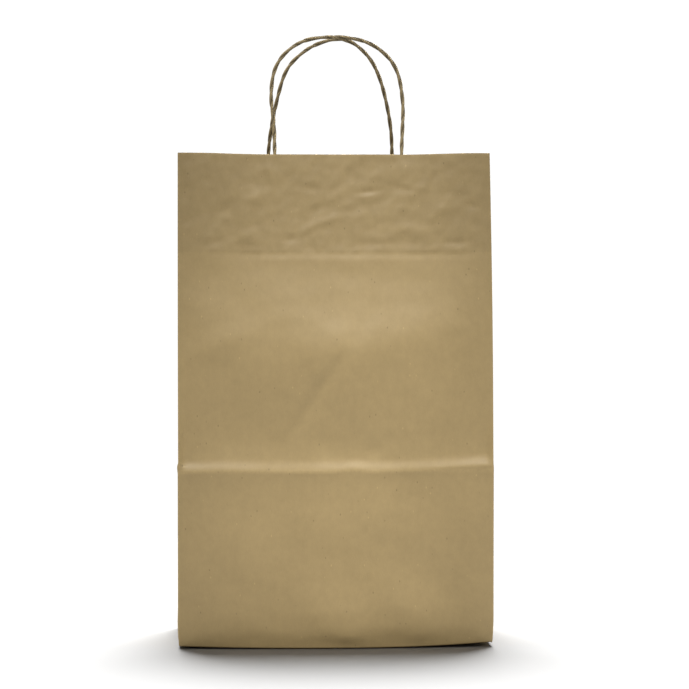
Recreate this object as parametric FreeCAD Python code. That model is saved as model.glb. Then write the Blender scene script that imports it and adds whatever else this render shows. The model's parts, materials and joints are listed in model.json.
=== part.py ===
import FreeCAD
import Part
import math
import os

# Twisted-handle paper carrier bag, standing open on its block bottom. Millimetres, +Z up, origin
# on the standing surface under the middle of the base, front towards -Y. The body is one folded
# sheet: a square lower box up to the pack fold, and above it a front and a back that lean
# together while the two gussets fold inwards. Every facet keeps its flat-sheet size.

Vec = FreeCAD.Vector

# Driving dimensions
WIDTH = 254.0            # front panel, corner fold to corner fold
DEPTH = 127.0            # base and gusset depth
PANEL_HEIGHT = 400.0     # measured along the paper, base edge to top edge
FOLD_HEIGHT = 145.0      # height of the pack fold that runs round the bag
MOUTH_DEPTH = 60.0       # front to back across the mouth
PAPER = 0.16             # one ply of kraft
HEM_DEPTH = 82.0         # paper turned in at the mouth
BASE_OVERLAP = 11.0      # each base flap runs this far past the middle
JOGGLE = 1.0             # length over which a flap steps up by one ply
SEAM_WIDTH = 24.0        # glue flap of the lengthwise seam
PATCH_WIDTH = 152.0
PATCH_HEIGHT = 50.0
PATCH_DROP = 28.0        # top edge of the patch below the mouth
CORD_DIAMETER = 3.4
CORD_PITCH = 103.0       # between the two legs of one handle
FRONT_CORD_CENTRE = 3.4  # sideways place of each handle
BACK_CORD_CENTRE = -0.4
LEG_END_MARGIN = 4.0     # leg stops this far above the patch's lower edge
HINGE_RISE = 2.6         # bend line of the handle above the mouth
BEND_GAP = 0.05          # running gap at the bend line
PLY_GAP = 0.03           # air between a leg and the ply formed over it

# Routes of the free loops from the left bend line to the right one:
# x, distance towards the middle of the bag, height above the bend line.
FRONT_ROUTE = [
    (-48.1, 0.0, 0.0), (-48.5, 3.0, 22.5), (-51.6, 5.7, 43.8), (-48.0, 7.6, 69.1),
    (-33.1, 8.6, 85.2), (-14.8, 9.0, 92.0), (16.6, 9.1, 91.8), (36.4, 8.6, 84.2),
    (52.4, 7.5, 67.3), (56.8, 5.3, 38.8), (56.0, 2.7, 20.0), (54.9, 0.0, 0.0),
]
BACK_ROUTE = [
    (-51.9, 0.0, 0.0), (-49.5, 3.0, 20.1), (-44.8, 5.5, 43.3), (-38.4, 7.6, 66.4),
    (-28.0, 8.3, 78.8), (-12.7, 8.9, 89.4), (11.6, 9.3, 95.0), (31.2, 8.2, 80.2),
    (41.0, 7.0, 60.9), (47.2, 4.9, 36.3), (50.3, 2.3, 17.2), (51.1, 0.0, 0.0),
]

HALF_WIDTH = WIDTH / 2
HALF_DEPTH = DEPTH / 2
HALF_MOUTH = MOUTH_DEPTH / 2
CORD_RADIUS = CORD_DIAMETER / 2
UPPER = PANEL_HEIGHT - FOLD_HEIGHT
LEAN = math.asin((HALF_DEPTH - HALF_MOUTH) / UPPER)
UPPER_RISE = UPPER * math.cos(LEAN)
MOUTH_Z = FOLD_HEIGHT + UPPER_RISE
# The middle of a gusset's mouth edge keeps its flat distances to the corner and to the fold.
GUSSET_RISE = (UPPER ** 2 + UPPER_RISE ** 2 + HALF_MOUTH ** 2 - HALF_DEPTH ** 2) / (2 * UPPER_RISE)
GUSSET_INSET = math.sqrt(UPPER ** 2 - GUSSET_RISE ** 2)


def save(name, solid):
    solid.exportStep(os.path.join("parts", name + ".step"))
    print(f"{name:26s} {solid.Volume:9.1f} mm3, {len(solid.Solids)} solid")


def unit(v):
    return v * (1 / v.Length)


def flip_x(p):
    return Vec(-p.x, p.y, p.z)


def flip_y(p):
    return Vec(p.x, -p.y, p.z)


def mirror_x(points):
    return [flip_x(p) for p in points]


def mirror_y(points):
    return [flip_y(p) for p in points]


def between(a, b, share):
    return a + (b - a) * share


# Fold points of the left front quarter; the other quarters mirror them.
FOOT = Vec(-HALF_WIDTH, -HALF_DEPTH, PAPER)
FOLD = Vec(-HALF_WIDTH, -HALF_DEPTH, FOLD_HEIGHT)
CORNER = Vec(-HALF_WIDTH, -HALF_MOUTH, MOUTH_Z)
MIDDLE = Vec(-HALF_WIDTH + GUSSET_INSET, 0, FOLD_HEIGHT + GUSSET_RISE)

FRONT_LOWER = [FOOT, flip_x(FOOT), flip_x(FOLD), FOLD]
FRONT_UPPER = [FOLD, flip_x(FOLD), flip_x(CORNER), CORNER]
BACK_LOWER = mirror_y(FRONT_LOWER)
BACK_UPPER = mirror_y(FRONT_UPPER)
SIDE_LOWER = [flip_y(FOOT), FOOT, FOLD, flip_y(FOLD)]
SIDE_CENTRE = [flip_y(FOLD), FOLD, MIDDLE]
SIDE_WING = [FOLD, CORNER, MIDDLE]


def normal(points):
    """Unit normal of a facet, pointing into the bag."""
    centre = sum(points, Vec()) * (1 / len(points))
    n = unit((points[1] - points[0]).cross(points[2] - points[0]))
    return n if n.dot(Vec(0, 0, centre.z) - centre) > 0 else n * -1


def on_edge(a, b, facet):
    """Whether the line from a to b runs along one of the facet's edges."""
    for c, d in zip(facet, facet[1:] + facet[:1]):
        along = unit(d - c)
        if along.cross(a - c).Length < 1e-6 and along.cross(b - c).Length < 1e-6:
            return True
    return False


def corners_at(points, beside, depth):
    """Corners of the facet's copy that lies depth inside it, mitred to the facets beside it."""
    n = normal(points)
    count = len(points)
    shifts = []
    for i in range(count):
        shift = n * depth
        for other in beside:
            if on_edge(points[i], points[(i + 1) % count], other):
                m = normal(other)
                shift = (n + m) * (depth / (1 + n.dot(m)))
        shifts.append(shift)
    corners = []
    for i in range(count):
        before, here, after = points[i - 1], points[i], points[(i + 1) % count]
        a, b = unit(here - before), unit(after - here)
        gap = shifts[i] - shifts[i - 1]
        corners.append(here + shifts[i - 1] + a * (gap.cross(b).dot(n) / a.cross(b).dot(n)))
    return corners


def face(points):
    return Part.Face(Part.makePolygon(points + points[:1]))


def ply(points, beside, level=0):
    """One layer of paper on a facet; level 0 is the outside of the bag."""
    low = corners_at(points, beside, level * PAPER)
    high = corners_at(points, beside, (level + 1) * PAPER)
    faces = [face(low), face(high)]
    for i in range(len(points)):
        j = (i + 1) % len(points)
        faces.append(face([low[i], low[j], high[j], high[i]]))
    solid = Part.Solid(Part.Shell(faces))
    if solid.Volume < 0:
        solid.reverse()
    return solid


def panels():
    """The folded sheet's walls, one plate for each facet between fold lines."""
    save("front_panel_lower", ply(FRONT_LOWER, [FRONT_UPPER, SIDE_LOWER, mirror_x(SIDE_LOWER)]))
    save("front_panel_upper", ply(FRONT_UPPER, [FRONT_LOWER, SIDE_WING, mirror_x(SIDE_WING)]))
    back_wing = mirror_y(SIDE_WING)
    save("back_panel_lower", ply(BACK_LOWER, [BACK_UPPER, SIDE_LOWER, mirror_x(SIDE_LOWER)]))
    save("back_panel_upper", ply(BACK_UPPER, [BACK_LOWER, back_wing, mirror_x(back_wing)]))


def gusset(side, turn):
    lower, centre = turn(SIDE_LOWER), turn(SIDE_CENTRE)
    front_wing, back_wing = turn(SIDE_WING), turn(mirror_y(SIDE_WING))
    save(f"{side}_gusset_lower", ply(lower, [FRONT_LOWER, BACK_LOWER, centre]))
    save(f"{side}_gusset_centre", ply(centre, [lower, front_wing, back_wing]))
    save(f"{side}_gusset_front_wing", ply(front_wing, [FRONT_UPPER, centre]))
    save(f"{side}_gusset_back_wing", ply(back_wing, [BACK_UPPER, centre]))


CORNER_CUT = between(CORNER, FOLD, HEM_DEPTH / UPPER)
MIDDLE_CUT = between(MIDDLE, FOLD, HEM_DEPTH / UPPER)
HEM_FRONT = [CORNER_CUT, flip_x(CORNER_CUT), flip_x(CORNER), CORNER]
HEM_WING = [CORNER_CUT, CORNER, MIDDLE, MIDDLE_CUT]
HEM_TIP = [flip_y(MIDDLE_CUT), MIDDLE_CUT, MIDDLE]


def panel_hems():
    """Paper turned in at the mouth of the front and the back."""
    back_wing = mirror_y(SIDE_WING)
    save("front_hem", ply(HEM_FRONT, [SIDE_WING, mirror_x(SIDE_WING)], 1))
    save("back_hem", ply(mirror_y(HEM_FRONT), [back_wing, mirror_x(back_wing)], 1))


def gusset_hem(side, turn):
    wing, back_wing = turn(SIDE_WING), turn(mirror_y(SIDE_WING))
    centre = turn(SIDE_CENTRE)
    front = ply(turn(HEM_WING), [FRONT_UPPER, centre], 1)
    back = ply(turn(mirror_y(HEM_WING)), [BACK_UPPER, centre], 1)
    tip = ply(turn(HEM_TIP), [wing, back_wing], 1)
    save(f"{side}_gusset_hem", tip.fuse([front, back]).Solids[0])


def seam():
    """The sheet's glue flap, turned in from the left gusset and pasted inside the back."""
    def strip(low, high):
        across = Vec(SEAM_WIDTH, 0, 0)
        return mirror_y([low, low + across, high + across, high])
    above_base = FOOT + Vec(0, 0, 2 * PAPER)
    lower = ply(strip(above_base, FOLD), [SIDE_LOWER, BACK_UPPER], 1)
    upper = ply(strip(FOLD, CORNER_CUT), [mirror_y(SIDE_WING), BACK_LOWER], 1)
    save("seam_flap", lower.fuse(upper).Solids[0])


FLAP_REACH = HALF_DEPTH + BASE_OVERLAP


def flap_blank(z, height):
    """Base flap folded from the front edge: its ends are turned back along 45 degree folds."""
    return face([Vec(-HALF_WIDTH, -HALF_DEPTH, z), Vec(HALF_WIDTH, -HALF_DEPTH, z),
                 Vec(HALF_WIDTH - FLAP_REACH, BASE_OVERLAP, z),
                 Vec(-HALF_WIDTH + FLAP_REACH, BASE_OVERLAP, z)]).extrude(Vec(0, 0, height))


def base_flaps():
    """The front flap is outermost; the back flap steps up and is pasted over it."""
    save("base_front_flap", flap_blank(0, PAPER))
    lap = BASE_OVERLAP
    profile = [(HALF_DEPTH, 0), (lap + JOGGLE, 0), (lap, PAPER), (-lap, PAPER),
               (-lap, 2 * PAPER), (lap, 2 * PAPER), (lap + JOGGLE, PAPER), (HALF_DEPTH, PAPER)]
    stepped = face([Vec(-HALF_WIDTH, y, z) for y, z in profile]).extrude(Vec(WIDTH, 0, 0))
    blank = flap_blank(-PAPER, 4 * PAPER).mirror(Vec(), Vec(0, 1, 0))
    save("base_back_flap", stepped.common(blank).Solids[0])


def corner_fold():
    """The end of a base flap, turned back over it; left front corner."""
    x, y = -HALF_WIDTH + PAPER, -HALF_DEPTH + PAPER
    top = -BASE_OVERLAP - JOGGLE
    reach = -HALF_WIDTH + FLAP_REACH
    return face([Vec(x, y, PAPER), Vec(reach, y, PAPER), Vec(reach, top, PAPER),
                 Vec(x + top - y, top, PAPER)]).extrude(Vec(0, 0, PAPER))


def base_end(side, turn_x):
    """The gusset's tuck, lying over the turned-back ends of both base flaps."""
    front = corner_fold()
    back = front.mirror(Vec(), Vec(0, 1, 0))
    tuck = Part.makeBox(FLAP_REACH - PAPER, DEPTH - 2 * PAPER, PAPER,
                        Vec(-HALF_WIDTH + PAPER, -HALF_DEPTH + PAPER, 2 * PAPER))
    for name, solid in ((f"base_{side}_front_corner_fold", front),
                        (f"base_{side}_back_corner_fold", back), (f"base_{side}_tuck", tuck)):
        save(name, solid.mirror(Vec(), Vec(1, 0, 0)) if turn_x else solid)


def on_panel(side, x, up, depth):
    """A point on the front (-1) or back (1) panel: up from its mouth edge, depth inside it."""
    return Vec(x, side * (HALF_MOUTH - up * math.sin(LEAN) - depth * math.cos(LEAN)),
               MOUTH_Z + up * math.cos(LEAN) - depth * math.sin(LEAN))


def panel_up(side):
    return unit(on_panel(side, 0, 1, 0) - on_panel(side, 0, 0, 0))


PATCH_FOOT = -PATCH_DROP - PATCH_HEIGHT
GROUND = 3 * PAPER       # panel, hem and the patch's flat ply lie under the legs


def bridge(side, legs, start_x, end_x, radius, level):
    """Outline of one face of the formed ply: flat at level, arched over each leg."""
    step = 1 if end_x > start_x else -1
    edges = []
    here = on_panel(side, start_x, PATCH_FOOT, level)
    for x in legs:
        foot = on_panel(side, x - step * radius, PATCH_FOOT, level)
        spring = on_panel(side, x - step * radius, PATCH_FOOT, GROUND + CORD_RADIUS)
        crown = on_panel(side, x, PATCH_FOOT, GROUND + CORD_RADIUS + radius)
        landing = on_panel(side, x + step * radius, PATCH_FOOT, GROUND + CORD_RADIUS)
        edges.append(Part.LineSegment(here, foot).toShape())
        edges.append(Part.LineSegment(foot, spring).toShape())
        edges.append(Part.Arc(spring, crown, landing).toShape())
        here = on_panel(side, x + step * radius, PATCH_FOOT, level)
        edges.append(Part.LineSegment(landing, here).toShape())
    end = on_panel(side, end_x, PATCH_FOOT, level)
    edges.append(Part.LineSegment(here, end).toShape())
    return edges


def patch(name, side, centre):
    """Reinforcing patch: a flat ply on the hem and a ply formed over the two cord legs."""
    left, right = centre - PATCH_WIDTH / 2, centre + PATCH_WIDTH / 2
    legs = [centre - CORD_PITCH / 2, centre + CORD_PITCH / 2]
    top, foot, bed = -PATCH_DROP, PATCH_FOOT, 2 * PAPER
    sheet = face([on_panel(side, left, foot, bed), on_panel(side, right, foot, bed),
                  on_panel(side, right, top, bed), on_panel(side, left, top, bed)])
    into = on_panel(side, 0, 0, PAPER) - on_panel(side, 0, 0, 0)
    save(f"{name}_patch_flat_ply", sheet.extrude(into))
    bore = CORD_RADIUS + PLY_GAP
    under = bridge(side, legs, left, right, bore, GROUND)
    over = bridge(side, legs[::-1], right, left, bore + PAPER, GROUND + PAPER)
    ends = [Part.LineSegment(on_panel(side, x, PATCH_FOOT, GROUND),
                             on_panel(side, x, PATCH_FOOT, GROUND + PAPER)).toShape()
            for x in (right, left)]
    outline = Part.Wire(under + [ends[0]] + over + [ends[1]])
    save(f"{name}_patch_formed_ply", Part.Face(outline).extrude(panel_up(side) * PATCH_HEIGHT))


def legs(name, side, centre):
    """The straight ends of the cord, glued in the patch and standing up to the bend line."""
    low = PATCH_FOOT + LEG_END_MARGIN
    top = HINGE_RISE - CORD_RADIUS - BEND_GAP
    for word, x in (("left", centre - CORD_PITCH / 2), ("right", centre + CORD_PITCH / 2)):
        start = on_panel(side, x, low, GROUND + CORD_RADIUS)
        leg = Part.makeCylinder(CORD_RADIUS, top - low, start, panel_up(side))
        save(f"{name}_cord_{word}_leg", leg)


def cord_path(points):
    """Straight runs joined by tangent arcs, each as large as its two runs allow."""
    edges, here, radii = [], points[0], []
    for before, corner, after in zip(points, points[1:], points[2:]):
        reach = 0.45 * min((before - corner).Length, (after - corner).Length)
        back, ahead = unit(before - corner), unit(after - corner)
        half_turn = (math.pi - back.getAngle(ahead)) / 2
        radius = reach / math.tan(half_turn)
        radii.append(radius)
        start, end = corner + back * reach, corner + ahead * reach
        middle = corner + unit(back + ahead) * (radius / math.cos(half_turn) - radius)
        edges.append(Part.LineSegment(here, start).toShape())
        edges.append(Part.Arc(start, middle, end).toShape())
        here = end
    edges.append(Part.LineSegment(here, points[-1]).toShape())
    print("arc radii " + " ".join(f"{r:.0f}" for r in radii))
    return Part.Wire(edges)


def loop(name, side, route):
    """The free loop of the cord above its bend line, rounded at both ends."""
    bend = on_panel(side, 0, HINGE_RISE, GROUND + CORD_RADIUS)
    points = [Vec(x, bend.y - side * inward, bend.z + rise) for x, inward, rise in route]
    path = cord_path(points)
    ring = Part.Wire([Part.Circle(points[0], points[1] - points[0], CORD_RADIUS).toShape()])
    tube = path.makePipeShell([ring], True, True)
    share = tube.Volume / (math.pi * CORD_RADIUS ** 2 * path.Length)
    caps = [Part.makeSphere(CORD_RADIUS, end, end - beside, 0, 90, 360)
            for end, beside in ((points[0], points[1]), (points[-1], points[-2]))]
    save(f"{name}_cord_loop", tube.fuse(caps).Solids[0])
    print(f"loop length {path.Length:.1f}, volume over section times length {share:.4f}, "
          f"bend line y {bend.y:.3f} z {bend.z:.3f}")


def main():
    os.makedirs("parts", exist_ok=True)
    panels()
    panel_hems()
    seam()
    base_flaps()
    for side, turn, turned in (("left", list, False), ("right", mirror_x, True)):
        gusset(side, turn)
        gusset_hem(side, turn)
        base_end(side, turned)
    for name, side, centre, route in (("front", -1, FRONT_CORD_CENTRE, FRONT_ROUTE),
                                      ("back", 1, BACK_CORD_CENTRE, BACK_ROUTE)):
        patch(name, side, centre)
        legs(name, side, centre)
        loop(name, side, route)
    print(f"mouth z {MOUTH_Z:.3f}, lean {math.degrees(LEAN):.3f} degrees, "
          f"gusset middle x {MIDDLE.x:.3f} z {MIDDLE.z:.3f}")


main()
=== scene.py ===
import json
import math
import bpy
import numpy as np
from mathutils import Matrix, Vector


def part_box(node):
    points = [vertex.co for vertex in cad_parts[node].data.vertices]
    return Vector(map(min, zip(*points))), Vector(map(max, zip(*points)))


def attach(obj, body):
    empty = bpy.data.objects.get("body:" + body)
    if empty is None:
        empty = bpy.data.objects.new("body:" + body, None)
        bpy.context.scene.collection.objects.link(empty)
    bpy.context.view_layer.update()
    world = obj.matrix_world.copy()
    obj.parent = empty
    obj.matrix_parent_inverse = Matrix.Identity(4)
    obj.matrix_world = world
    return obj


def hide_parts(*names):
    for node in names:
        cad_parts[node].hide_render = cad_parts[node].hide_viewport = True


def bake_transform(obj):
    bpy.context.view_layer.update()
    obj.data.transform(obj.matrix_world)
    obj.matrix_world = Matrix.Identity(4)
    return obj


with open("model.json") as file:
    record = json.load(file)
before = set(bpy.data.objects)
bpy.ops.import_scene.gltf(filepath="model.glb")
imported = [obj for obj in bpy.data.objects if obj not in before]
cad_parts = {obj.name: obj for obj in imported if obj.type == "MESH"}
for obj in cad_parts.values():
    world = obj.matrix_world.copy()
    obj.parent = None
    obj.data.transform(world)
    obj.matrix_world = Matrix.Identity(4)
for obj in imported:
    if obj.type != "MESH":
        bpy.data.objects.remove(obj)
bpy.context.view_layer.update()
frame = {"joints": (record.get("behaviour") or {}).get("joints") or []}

# ---------------------------------------------------------------- sizes, in metres
MM = 0.001
foot_low, foot_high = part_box("front_panel_lower")
_, lean_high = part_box("front_panel_upper")
WIDTH = foot_high.x - foot_low.x
DEPTH = -2 * foot_low.y
FOLD_HEIGHT = foot_high.z
MOUTH_Z = lean_high.z
PAPER = 0.16 * MM
MOUTH_DEPTH = 60 * MM
HEM_DEPTH = 82 * MM
BASE_OVERLAP = 11 * MM
SEAM_WIDTH = 24 * MM
PATCH_WIDTH = 152 * MM
PATCH_HEIGHT = 50 * MM
PATCH_DROP = 28 * MM
CORD_DIAMETER = 3.4 * MM
CORD_PITCH = 103 * MM
LEG_LENGTH = 76.6 * MM
CORD_CENTRES = {"front": 3.4 * MM, "back": -0.4 * MM}

HALF_WIDTH = WIDTH / 2
HALF_DEPTH = DEPTH / 2
HALF_MOUTH = MOUTH_DEPTH / 2
UPPER = math.hypot(MOUTH_Z - FOLD_HEIGHT, HALF_DEPTH - HALF_MOUTH)
PANEL_HEIGHT = FOLD_HEIGHT + UPPER
LEAN = math.asin((HALF_DEPTH - HALF_MOUTH) / UPPER)
UPPER_RISE = UPPER * math.cos(LEAN)
GUSSET_RISE = (UPPER ** 2 + UPPER_RISE ** 2 + HALF_MOUTH ** 2 - HALF_DEPTH ** 2) / (2 * UPPER_RISE)
GUSSET_INSET = math.sqrt(UPPER ** 2 - GUSSET_RISE ** 2)
FLAP_REACH = HALF_DEPTH + BASE_OVERLAP
HEM_AIR = 0.06 * MM
HEM_LEVEL = PAPER + HEM_AIR

# Free loops from the left bend line to the right one, as in the part:
# x, distance towards the middle of the bag, height above the bend line.
FRONT_ROUTE = [
    (-0.0481, 0.0, 0.0), (-0.0485, 0.0030, 0.0225), (-0.0516, 0.0057, 0.0438),
    (-0.0480, 0.0076, 0.0691), (-0.0331, 0.0086, 0.0852), (-0.0148, 0.0090, 0.0920),
    (0.0166, 0.0091, 0.0918), (0.0364, 0.0086, 0.0842), (0.0524, 0.0075, 0.0673),
    (0.0568, 0.0053, 0.0388), (0.0560, 0.0027, 0.0200), (0.0549, 0.0, 0.0),
]
BACK_ROUTE = [
    (-0.0519, 0.0, 0.0), (-0.0495, 0.0030, 0.0201), (-0.0448, 0.0055, 0.0433),
    (-0.0384, 0.0076, 0.0664), (-0.0280, 0.0083, 0.0788), (-0.0127, 0.0089, 0.0894),
    (0.0116, 0.0093, 0.0950), (0.0312, 0.0082, 0.0802), (0.0410, 0.0070, 0.0609),
    (0.0472, 0.0049, 0.0363), (0.0503, 0.0023, 0.0172), (0.0511, 0.0, 0.0),
]


# ---------------------------------------------------------------- small mathematics
def ease(x):
    """0 below 0, 1 above 1, and a smooth rise between."""
    x = np.clip(x, 0.0, 1.0)
    return x * x * (3 - 2 * x)


def bell(x, width):
    return np.exp(-(x / width) ** 2)


def soft_line(height, knots):
    """A smooth line through (height, stand-out) pairs, in millimetres."""
    levels, values = zip(*knots)
    line = [np.interp(height + shift, levels, values) for shift in (-6, -3, 0, 3, 6)]
    return (line[0] + 2 * line[1] + 3 * line[2] + 2 * line[3] + line[4]) / 9


def swell(x, z, middle_x, middle_z, reach_x, reach_z, height, turn=0):
    """A soft rise or hollow of the paper, in millimetres, its long way turned by some degrees."""
    turn = math.radians(turn)
    dx, dz = x / MM - middle_x, z / MM - middle_z
    u = (dx * math.cos(turn) + dz * math.sin(turn)) / reach_x
    w = (dz * math.cos(turn) - dx * math.sin(turn)) / reach_z
    return height * np.exp(-u * u - w * w)


def ripples(x, y, shortest, longest, count, seed):
    """A soft random relief between about -1 and 1, made of plane waves between two wavelengths."""
    dice = np.random.default_rng(seed)
    total = np.zeros_like(x)
    for _ in range(count):
        wave = 2 * math.pi / (shortest + (longest - shortest) * dice.random())
        turn, phase = 2 * math.pi * dice.random(2)
        total += np.sin(wave * (x * math.cos(turn) + y * math.sin(turn)) + phase)
    return total * math.sqrt(2.0 / count) / 1.6


# ---------------------------------------------------------------- the folded sheet
class Panel:
    """One side of the tube: its stretch of the ring and its directions in space."""

    def __init__(self, start, size, across, outward, gusset):
        self.start, self.end, self.middle = start, start + size, start + size / 2
        self.half = size / 2
        self.across, self.outward = np.array(across, float), np.array(outward, float)
        self.gusset = gusset


LEFT = Panel(0.0, DEPTH, (0, -1, 0), (-1, 0, 0), True)
FRONT = Panel(LEFT.end, WIDTH, (1, 0, 0), (0, -1, 0), False)
RIGHT = Panel(FRONT.end, DEPTH, (0, 1, 0), (1, 0, 0), True)
BACK = Panel(RIGHT.end, WIDTH, (-1, 0, 0), (0, 1, 0), False)
PANELS = (LEFT, FRONT, RIGHT, BACK)
RING = BACK.end
UP = np.array((0.0, 0.0, 1.0))


def broad_facets(a, v):
    """Front or back: across, outward and up of the sheet's point a from the middle, v up."""
    above = np.maximum(v - FOLD_HEIGHT, 0)
    under = np.maximum(-v, 0)
    across = a * (HALF_WIDTH - under) / HALF_WIDTH
    outward = HALF_DEPTH - above * math.sin(LEAN) - under
    up = np.clip(v, 0, FOLD_HEIGHT) + above * math.cos(LEAN)
    return across, outward, up


def gusset_facets(a, v):
    """A side: flat up to the pack fold, then a leaning middle triangle between two wings."""
    above = np.maximum(v - FOLD_HEIGHT, 0)
    under = np.maximum(-v, 0)
    share = above / UPPER
    middle = (HALF_DEPTH - np.abs(a)) / HALF_DEPTH
    wing = middle < share
    corner = share - middle
    fold = 1 - share
    wing_across = np.sign(a) * (fold * HALF_DEPTH + corner * HALF_MOUTH)
    wing_outward = HALF_WIDTH - middle * GUSSET_INSET
    wing_up = FOLD_HEIGHT + corner * UPPER_RISE + middle * GUSSET_RISE
    across = np.where(wing, wing_across, a)
    outward = np.where(wing, wing_outward, HALF_WIDTH - share * GUSSET_INSET - under)
    up = np.where(wing, wing_up, np.clip(v, 0, FOLD_HEIGHT) + share * GUSSET_RISE)
    return across, outward, up


def folded(s, v):
    """The sheet folded sharply along its fold lines."""
    s = np.mod(s, RING)
    point = np.zeros(s.shape + (3,))
    for panel in PANELS:
        here = (s >= panel.start) & (s < panel.end)
        facets = gusset_facets if panel.gusset else broad_facets
        across, outward, up = facets(s[here] - panel.middle, v[here])
        point[here] = (across[:, None] * panel.across + outward[:, None] * panel.outward
                       + up[:, None] * UP)
    return point


def along(s, panel):
    """Signed distance from the panel's middle, wherever s lies on the ring."""
    return np.mod(s - panel.middle + RING / 2, RING) - RING / 2


def gusset_share(s):
    """0 on the corners and on the broad panels, 1 well inside a gusset."""
    inside = np.maximum(HALF_DEPTH - np.abs(along(s, LEFT)), HALF_DEPTH - np.abs(along(s, RIGHT)))
    return ease(inside / (26 * MM))


# How far the middle of each wall stands out from its folded place: (height, stand-out), in mm.
FRONT_OUTLINE = [(0, 7.0), (12, 8.2), (30, 8.0), (50, 6.6), (75, 4.6), (118, 2.1), (140, 1.2),
                 (152, 0.6), (166, 1.4), (190, 4.4), (215, 7.8), (230, 9.5), (243, 10.0),
                 (256, 8.9), (276, 6.2), (300, 3.5), (320, 1.9), (345, 1.1), (372, 0.9), (398, 0.5)]
BACK_OUTLINE = [(0, 0.4), (12, 1.4), (40, 3.4), (75, 4.2), (118, 4.2), (145, 4.6), (175, 5.6),
                (215, 7.0), (250, 6.6), (290, 3.8), (320, 1.9), (350, 1.1), (398, 0.5)]
SIDE_OUTLINE = [(0, 0.0), (20, -0.8), (60, -2.6), (105, -3.6), (138, -2.4), (160, -1.0), (220, 0.0),
                (400, 0.0)]

# Rises and hollows of the front's paper: middle across and up, reach across and up, height, turn.
FRONT_SWELLS = [
    (6, 238, 62, 22, 1.0, 4), (-44, 268, 24, 20, 0.8, -25), (62, 256, 40, 17, 0.9, 10),
    (-94, 244, 36, 9, 0.9, 22), (22, 184, 26, 30, 0.9, -8), (-15, 203, 6, 50, -1.15, -33),
    (-76, 168, 38, 30, -1.1, 0), (102, 172, 28, 34, -1.1, 0), (-104, 296, 22, 16, -0.8, 20),
    (-8, 160, 10, 7, -0.6, -40), (30, 158, 8, 6, -0.7, 20), (66, 205, 9, 30, 0.4, 20),
    (-20, 96, 70, 26, 0.5, 8), (60, 60, 60, 28, -0.5, -10), (-88, 50, 40, 30, -0.5, 15),
    (10, 300, 60, 10, -0.4, -6), (100, 104, 30, 34, 0.4, 0),
]
FRONT_BLISTERS = [
    (-66, 363, 9, 6, 0.75, 25), (-72, 346, 6, 9, 0.6, 0), (-90, 352, 10, 5, -0.45, 30),
    (-71, 331, 9, 6, 0.5, -20), (-95, 328, 9, 3.5, -0.3, 10), (-36, 330, 5, 3, -0.5, 10),
    (-2, 346, 11, 4, 0.55, 12), (-8, 356, 14, 4, -0.4, 20), (28, 369, 10, 2.6, -0.6, 8),
    (18, 361, 16, 4, 0.35, 24), (-22, 372, 12, 4, -0.35, -5), (58, 371, 12, 3, -0.4, -12),
    (84, 352, 11, 6, 0.4, 30), (96, 327, 13, 2.6, -0.4, 2), (110, 357, 9, 3, -0.3, -20),
    (44, 344, 9, 9, 0.35, 0), (-50, 385, 6, 10, 0.4, 15), (-18, 340, 7, 3, 0.4, 30),
    (66, 336, 14, 5, 0.35, -15), (-110, 372, 8, 12, 0.3, 0), (34, 326, 18, 3, -0.25, 4),
]

CORNER_ROUND = 1.1 * MM
GUSSET_ROUND = 9 * MM
SAMPLES = np.linspace(-1, 1, 7)


def rounded(s, v):
    """The folded sheet with its folds rounded, by averaging it over a small patch."""
    soft = gusset_share(s) * ease((v - FOLD_HEIGHT - 4 * MM) / (30 * MM))
    reach_s = CORNER_ROUND * ease(v / (8 * MM)) + GUSSET_ROUND * soft
    reach_v = CORNER_ROUND + GUSSET_ROUND * soft
    point = np.zeros(s.shape + (3,))
    total = 0.0
    for i in SAMPLES:
        for j in SAMPLES:
            weight = (1.2 - abs(i)) * (1.2 - abs(j))
            point += weight * folded(s + i * reach_s, v + j * reach_v)
            total += weight
    return point / total


# How the standing bag settles.
FOOT_HEIGHT = 22 * MM
CORNER_HEIGHT = 70 * MM
FOOT_DRAW = 0.8 * MM
FOOT_DRAW_SIDE = 0.9 * MM
MOUTH_DIP = 1.3 * MM
DIP_FLAT = 55 * MM
DIP_FADE = 60 * MM
FRONT_EDGE = 30 * MM


def settled(p):
    """The standing bag at rest: walls belly, the foot draws in and the base's corners lift."""
    x, y, z = p[..., 0], p[..., 1], p[..., 2]
    upper = np.clip((z - FOLD_HEIGHT) / (MOUTH_Z - FOLD_HEIGHT), 0, 1)
    half = HALF_DEPTH - (HALF_DEPTH - HALF_MOUTH) * upper
    side = np.clip(x / HALF_WIDTH, -1, 1)
    rear = np.clip(y / half, -1, 1)
    height = z / MM
    belly = np.where(rear < 0, soft_line(height, FRONT_OUTLINE), soft_line(height, BACK_OUTLINE)) * MM
    dent = soft_line(height, SIDE_OUTLINE) * MM * (1 - rear ** 2)
    foot = (1 - np.clip(z / FOOT_HEIGHT, 0, 1)) ** 2
    new_y = y + rear * (belly * (1 - side ** 2) - FOOT_DRAW * (1 + side ** 2) * foot)
    lean = np.where(side * (1 - rear) > 0, 0.7, 0.1)
    bow = lean * MM * np.sin(math.pi * upper) * (1 - ease((FRONT_EDGE - np.abs(y)) / FRONT_EDGE))
    new_x = x + side * (dent + bow - FOOT_DRAW_SIDE * foot)
    front = (1 - rear) / 2
    corner = 1.4 + front * np.where(side < 0, 0.1, 1.9)
    lift = corner * MM * np.abs(side) ** 2.6 * (1 - ease(z / CORNER_HEIGHT))
    dip = MOUTH_DIP * (1 - ease((np.abs(x) - DIP_FLAT) / DIP_FADE)) * upper ** 3
    new_z = z + lift - dip
    return np.stack([new_x, new_y, new_z], axis=-1)


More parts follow.
